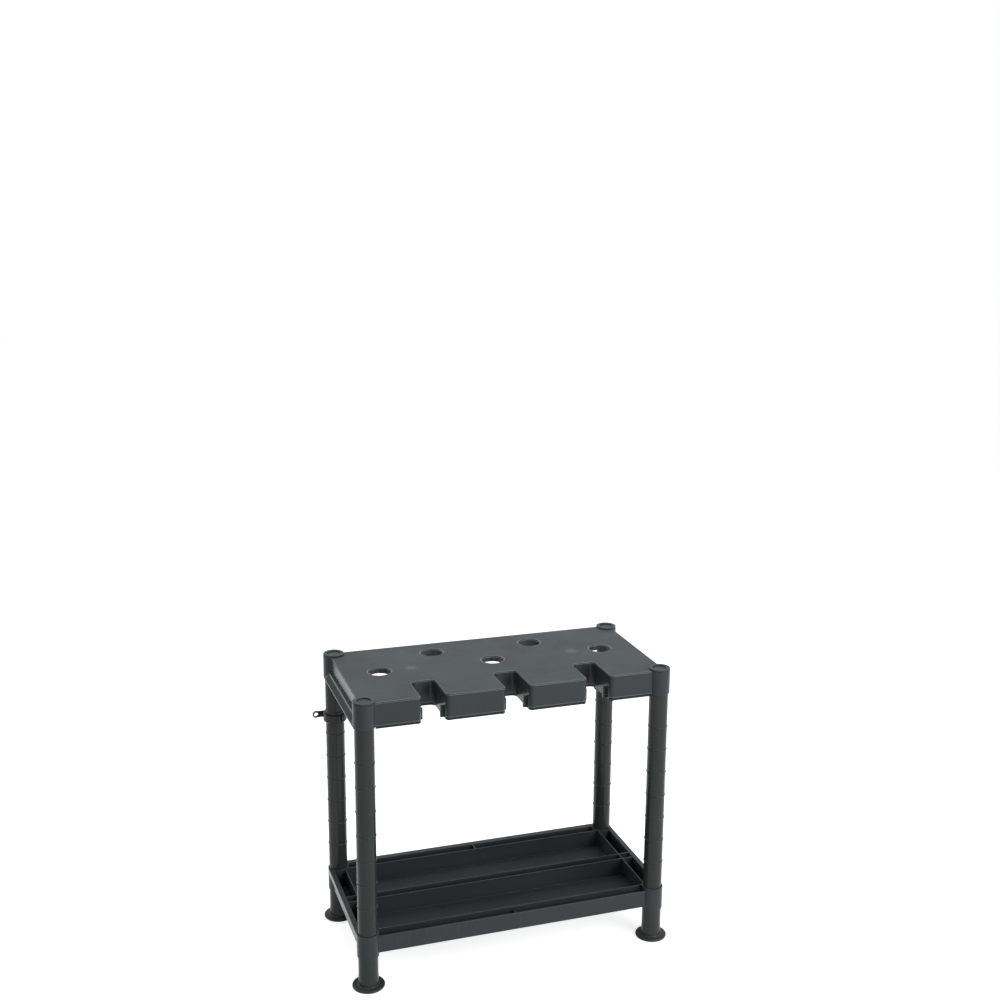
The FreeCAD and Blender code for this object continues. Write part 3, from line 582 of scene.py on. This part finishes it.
for corner in corners:
    node = f"post_{corner}"
    low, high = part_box(node)
    outer, bore = post["radius"], post["radius"] - post["wall"]
    crest, halfWidth, halfFlat = post["beadRadius"], post["beadWidth"] / 2, post["beadFlat"] / 2
    bead = ((outer, -halfWidth), (crest, -halfFlat), (crest, halfFlat), (outer, halfWidth))
    outline = [(bore, low.z, post["boreRounding"]), (outer, low.z, post["endRounding"])]
    for index in reversed(range(post["beadCount"])):
        middle = post["topBead"] - index * post["beadStep"]
        outline += [(radius, middle + rise, post["beadRounding"]) for radius, rise in bead]
    outline += [(outer, high.z, post["endRounding"]), (bore, high.z, post["boreRounding"])]
    bm = bmesh.new()
    spinOutline(bm, outline, centreOf(node), post["steps"])
    finishPiece(bm, pieceName("post", corner), node, "post", rackBody, 0)
print("posts made")


foot = {"discRadius": 0.032, "discHeight": 0.0055, "discRounding": 0.0026, "legBase": 0.0205,
        "legRadius": 0.0194, "taperTop": 0.030, "taperRounding": 0.004, "fillet": 0.0028, "wall": 0.0024,
        "topRounding": 0.0008, "boreRounding": 0.0004, "recess": 0.003, "rim": 0.005,
        "rimRounding": 0.0004, "innerRounding": 0.0005, "steps": 96}

for corner in corners:
    node = f"foot_{corner}"
    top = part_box(node)[1].z
    bore = foot["legRadius"] - foot["wall"]
    innerRim, outerRim = bore + foot["rim"], foot["discRadius"] - foot["rim"]
    outline = [
        (bore, 0, foot["innerRounding"]),
        (innerRim, 0, foot["rimRounding"]),
        (innerRim, foot["recess"], foot["innerRounding"]),
        (outerRim, foot["recess"], foot["innerRounding"]),
        (outerRim, 0, foot["rimRounding"]),
        (foot["discRadius"], 0, foot["discRounding"]),
        (foot["discRadius"], foot["discHeight"], foot["discRounding"]),
        (foot["legBase"], foot["discHeight"], foot["fillet"]),
        (foot["legRadius"], foot["taperTop"], foot["taperRounding"]),
        (foot["legRadius"], top, foot["topRounding"]),
        (bore, top, foot["boreRounding"]),
    ]
    bm = bmesh.new()
    spinOutline(bm, outline, centreOf(node), foot["steps"])
    finishPiece(bm, pieceName("foot", corner), node, "foot", rackBody, 0)
print("feet made")


cap = {"radius": 0.021, "height": 0.0035, "lowerEdge": 0.0008, "edgeRounding": 0.0003,
       "rimRounding": 0.0009, "dishRadius": 0.01375, "dishDepth": 0.0025, "dishSlope": 0.0004,
       "dishRounding": 0.0007,
       "plugRadius": 0.01665, "plugWall": 0.002, "plugLength": 0.014, "plugRounding": 0.0008,
       "hollowRounding": 0.0005, "endRounding": 0.0004, "gateRadius": 0.0014, "gateHeight": 0.0005,
       "gateTaper": 0.7, "gateRounding": 0.0002, "steps": 96}

for corner in corners:
    node = f"cap_{corner}"
    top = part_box(node)[1].z
    seat, floor = top - cap["height"], top - cap["dishDepth"]
    hollow, plugEnd = cap["plugRadius"] - cap["plugWall"], seat - cap["plugLength"]
    outline = [
        (0, floor + cap["gateHeight"], 0),
        (0, floor - cap["plugWall"], 0),
        (hollow, floor - cap["plugWall"], cap["hollowRounding"]),
        (hollow, plugEnd, cap["endRounding"]),
        (cap["plugRadius"], plugEnd, cap["plugRounding"]),
        (cap["plugRadius"], seat, 0),
        (cap["radius"] - cap["lowerEdge"], seat, 0),
        (cap["radius"], seat + cap["lowerEdge"], cap["edgeRounding"]),
        (cap["radius"], top, cap["rimRounding"]),
        (cap["dishRadius"], top, cap["rimRounding"]),
        (cap["dishRadius"] - cap["dishSlope"], floor, cap["dishRounding"]),
        (cap["gateRadius"], floor, cap["gateRounding"]),
        (cap["gateRadius"] * cap["gateTaper"], floor + cap["gateHeight"], cap["gateRounding"]),
    ]
    bm = bmesh.new()
    spinOutline(bm, outline, centreOf(node), cap["steps"])
    finishPiece(bm, pieceName("cap", corner), node, "cap", rackBody, 0)
print("caps made")


shelf = {
    "holeRadius": 0.0262,
    "faceX": 0.3055,  # the band's faces past this are on the short sides
    "faceY": 0.1455,  # and past this, on the long sides
    "rebateEndX": 0.2799,
    "rebateEndY": 0.1199,
    "snap": 2e-5,
    "rebate": {0.5840: 0, 0.58436: 0.00028, 0.58470: 0.0005, 0.58504: 0.0003, 0.58535: 0},  # height: depth
}


def inSocketOrHole(point):
    if math.hypot(abs(point.x) - postAxis["x"], abs(point.y) - postAxis["y"]) < postAxis["socketRadius"]:
        return True
    frontY, rearY = roundHoles["frontY"], roundHoles["rearY"]
    holes = ((roundHoles["outerX"], frontY), (0, frontY), (roundHoles["innerX"], rearY))
    return any(math.hypot(abs(point.x) - x, point.y - y) < shelf["holeRadius"] for x, y in holes)


def inRebate(item):
    low, high = min(shelf["rebate"]) - shelf["snap"], max(shelf["rebate"]) + shelf["snap"]
    return all(low < vert.co.z < high for vert in item.verts)


def rebateDepth(height):
    levels = list(shelf["rebate"].items())
    for (low, start), (high, stop) in zip(levels, levels[1:]):
        if low <= height <= high:
            return start + (stop - start) * (height - low) / (high - low)
    return 0


def crosses(face, height):
    heights = [vert.co.z for vert in face.verts]
    return min(heights) < height - shelf["snap"] and max(heights) > height + shelf["snap"]


def bisectFaces(bm, faces, place, direction):
    edges = dict.fromkeys(edge for face in faces for edge in face.edges)
    verts = dict.fromkeys(vert for face in faces for vert in face.verts)
    geometry = faces + list(edges) + list(verts)
    bmesh.ops.bisect_plane(bm, geom=geometry, dist=shelf["snap"], plane_co=place, plane_no=direction)


# Presses a shallow rebate into the foot of the shelf's rounded top edge, all the way round and
# into the notches. It stops short of the sockets. Gives the edges that stay crisp.
def pressRebate(bm):
    for height in shelf["rebate"]:
        walls = [face for face in bm.faces if not inSocketOrHole(face.calc_center_median())]
        bisectFaces(bm, [face for face in walls if crosses(face, height)], (0, 0, height), (0, 0, 1))
    for sign in (-1, 1):
        band = [(face, face.calc_center_median()) for face in bm.faces if inRebate(face)]
        longFaces = [face for face, middle in band if abs(middle.y) > shelf["faceY"]]
        bisectFaces(bm, longFaces, (sign * shelf["rebateEndX"], 0, 0), (1, 0, 0))
        band = [(face, face.calc_center_median()) for face in bm.faces if inRebate(face)]
        shortFaces = [face for face, middle in band if abs(middle.x) > shelf["faceX"]]
        bisectFaces(bm, shortFaces, (0, sign * shelf["rebateEndY"], 0), (0, 1, 0))
    bm.normal_update()
    moves = []
    for vert in bm.verts:
        depth = rebateDepth(vert.co.z)
        if depth and not inSocketOrHole(vert.co):
            moves.append((vert, Vector((-vert.normal.x, -vert.normal.y, 0)).normalized() * depth))
    for vert, step in moves:
        bmesh.ops.translate(bm, verts=[vert], vec=step)
    bm.normal_update()
    middles = [(edge, (edge.verts[0].co + edge.verts[1].co) / 2) for edge in bm.edges if inRebate(edge)]
    return {edge for edge, middle in middles if not inSocketOrHole(middle)}


moulded = {
    "topShelf": {"node": "top_shelf", "kind": "shelf", "body": rackBody, "edge": 0.00035},
    "bottomTray": {"node": "bottom_tray", "kind": "tray", "body": rackBody, "edge": 0.00035},
    "wallTieLeft": {"node": "wall_tie_left", "kind": "tie", "body": "wall_tie_left", "edge": 0.0003},
    "wallTieRight": {"node": "wall_tie_right", "kind": "tie", "body": "wall_tie_right", "edge": 0.0003},
}

for name, piece in moulded.items():
    bm = copyNode(piece["node"])
    markEdges(bm, pressRebate(bm) if name == "topShelf" else ())
    finishPiece(bm, name, piece["node"], piece["kind"], piece["body"], piece["edge"])
print("shelf, tray and ties made")


studio = {"floorSize": 24.0, "floorDrop": 0.0002, "paperColour": (238, 239, 240), "fibreScale": 90.0,
          "fibreShade": 0.985, "paperRoughness": 0.9, "paperSpecular": 0.1, "glow": 0.75,
          "worldLight": 0.27, "aim": (0, 0, 0.3)}
softboxes = {
    "overheadBox": {"place": (0.2, 0.3, 2.6), "width": 2.4, "height": 1.8, "power": 25.5},
    "leftBox": {"place": (-2.2, 1.6, 1.2), "width": 1.0, "height": 1.6, "power": 12.0},
    "rightBox": {"place": (1.5, -2.5, 1.5), "width": 2.0, "height": 1.8, "power": 55.5},
}


# 1 where the camera sees something, straight, in a reflection or through something clear.
def addSeen(tree):
    path = tree.nodes.new("ShaderNodeLightPath")
    rays = [path.outputs[f"Is {ray} Ray"] for ray in ("Camera", "Glossy", "Transmission")]
    return foldMath(tree, "MAXIMUM", *rays)


# The floor's paper, which is clear from below.
def makePaper():
    material = bpy.data.materials.new("studioPaper")
    material.use_nodes = True
    tree = material.node_tree
    shader = tree.nodes["Principled BSDF"]
    shader.inputs["Roughness"].default_value = studio["paperRoughness"]
    shader.inputs["Specular IOR Level"].default_value = studio["paperSpecular"]
    shader.inputs["Emission Color"].default_value = (1, 1, 1, 1)
    fibre = addNoise(tree, objectPoint(tree), studio["fibreScale"], detail=4.0, roughness=0.6)
    paper = toLinear(studio["paperColour"])
    darker = tuple(c * studio["fibreShade"] for c in paper[:3]) + (1.0,)
    tree.links.new(addMix(tree, fibre, darker, paper), shader.inputs["Base Color"])
    glow = addMath(tree, "MULTIPLY", addSeen(tree), studio["glow"])
    tree.links.new(glow, shader.inputs["Emission Strength"])
    back = tree.nodes.new("ShaderNodeNewGeometry").outputs["Backfacing"]
    clear = tree.nodes.new("ShaderNodeBsdfTransparent")
    mix = tree.nodes.new("ShaderNodeMixShader")
    tree.links.new(back, mix.inputs[0])
    tree.links.new(shader.outputs[0], mix.inputs[1])
    tree.links.new(clear.outputs[0], mix.inputs[2])
    tree.links.new(mix.outputs[0], tree.nodes["Material Output"].inputs["Surface"])
    return material


floorMesh = bpy.data.meshes.new("studioFloor")
bm = bmesh.new()
bmesh.ops.create_grid(bm, x_segments=4, y_segments=4, size=studio["floorSize"] / 2)
bmesh.ops.translate(bm, verts=list(bm.verts), vec=(0, 0, -studio["floorDrop"]))
bm.to_mesh(floorMesh)
bm.free()
floorMesh.materials.append(makePaper())
floorPiece = bpy.data.objects.new("studioFloor", floorMesh)
bpy.context.scene.collection.objects.link(floorPiece)


world = bpy.data.worlds.new("studioWorld")
bpy.context.scene.world = world
world.use_nodes = True
tree = world.node_tree
light = tree.nodes["Background"]
light.inputs["Color"].default_value = (1, 1, 1, 1)
light.inputs["Strength"].default_value = studio["worldLight"]
white = tree.nodes.new("ShaderNodeBackground")
white.inputs["Color"].default_value = (1, 1, 1, 1)
mix = tree.nodes.new("ShaderNodeMixShader")
tree.links.new(addSeen(tree), mix.inputs[0])
tree.links.new(light.outputs[0], mix.inputs[1])
tree.links.new(white.outputs[0], mix.inputs[2])
tree.links.new(mix.outputs[0], tree.nodes["World Output"].inputs["Surface"])


for name, box in softboxes.items():
    lamp = bpy.data.lights.new(name, "AREA")
    lamp.shape = "RECTANGLE"
    lamp.size = box["width"]
    lamp.size_y = box["height"]
    lamp.energy = box["power"]
    holder = bpy.data.objects.new(name, lamp)
    bpy.context.scene.collection.objects.link(holder)
    holder.location = box["place"]
    aim = Vector(studio["aim"]) - Vector(box["place"])
    holder.rotation_euler = aim.to_track_quat("-Z", "Y").to_euler()
print("studio lit")


view = {"place": (-0.807920, -2.491671, 1.519588), "yaw": 0.335312, "pitch": 0.23043, "roll": -0.010054,
        "focalPixels": 1370.027, "centrePixel": (524.423, 507.864), "imageSize": 1000.0, "sensor": 36.0,
        "clip": (0.05, 60)}

ahead = math.cos(view["pitch"])
forward = Vector((math.sin(view["yaw"]) * ahead, math.cos(view["yaw"]) * ahead, -math.sin(view["pitch"])))
level = Vector((math.cos(view["yaw"]), -math.sin(view["yaw"]), 0))
down = forward.cross(level)
right = level * math.cos(view["roll"]) + down * math.sin(view["roll"])
below = down * math.cos(view["roll"]) - level * math.sin(view["roll"])
lens = bpy.data.cameras.new("photoCamera")
lens.sensor_width = view["sensor"]
lens.lens = view["focalPixels"] * view["sensor"] / view["imageSize"]
lens.shift_x = (view["imageSize"] / 2 - view["centrePixel"][0]) / view["imageSize"]
lens.shift_y = (view["centrePixel"][1] - view["imageSize"] / 2) / view["imageSize"]
lens.clip_start, lens.clip_end = view["clip"]
camera = bpy.data.objects.new("photoCamera", lens)
bpy.context.scene.collection.objects.link(camera)
turned = Matrix((right, -below, -forward)).transposed().to_4x4()
camera.matrix_world = Matrix.Translation(view["place"]) @ turned
bpy.context.scene.camera = camera
bpy.context.scene.view_settings.view_transform = "Standard"
print("camera placed")
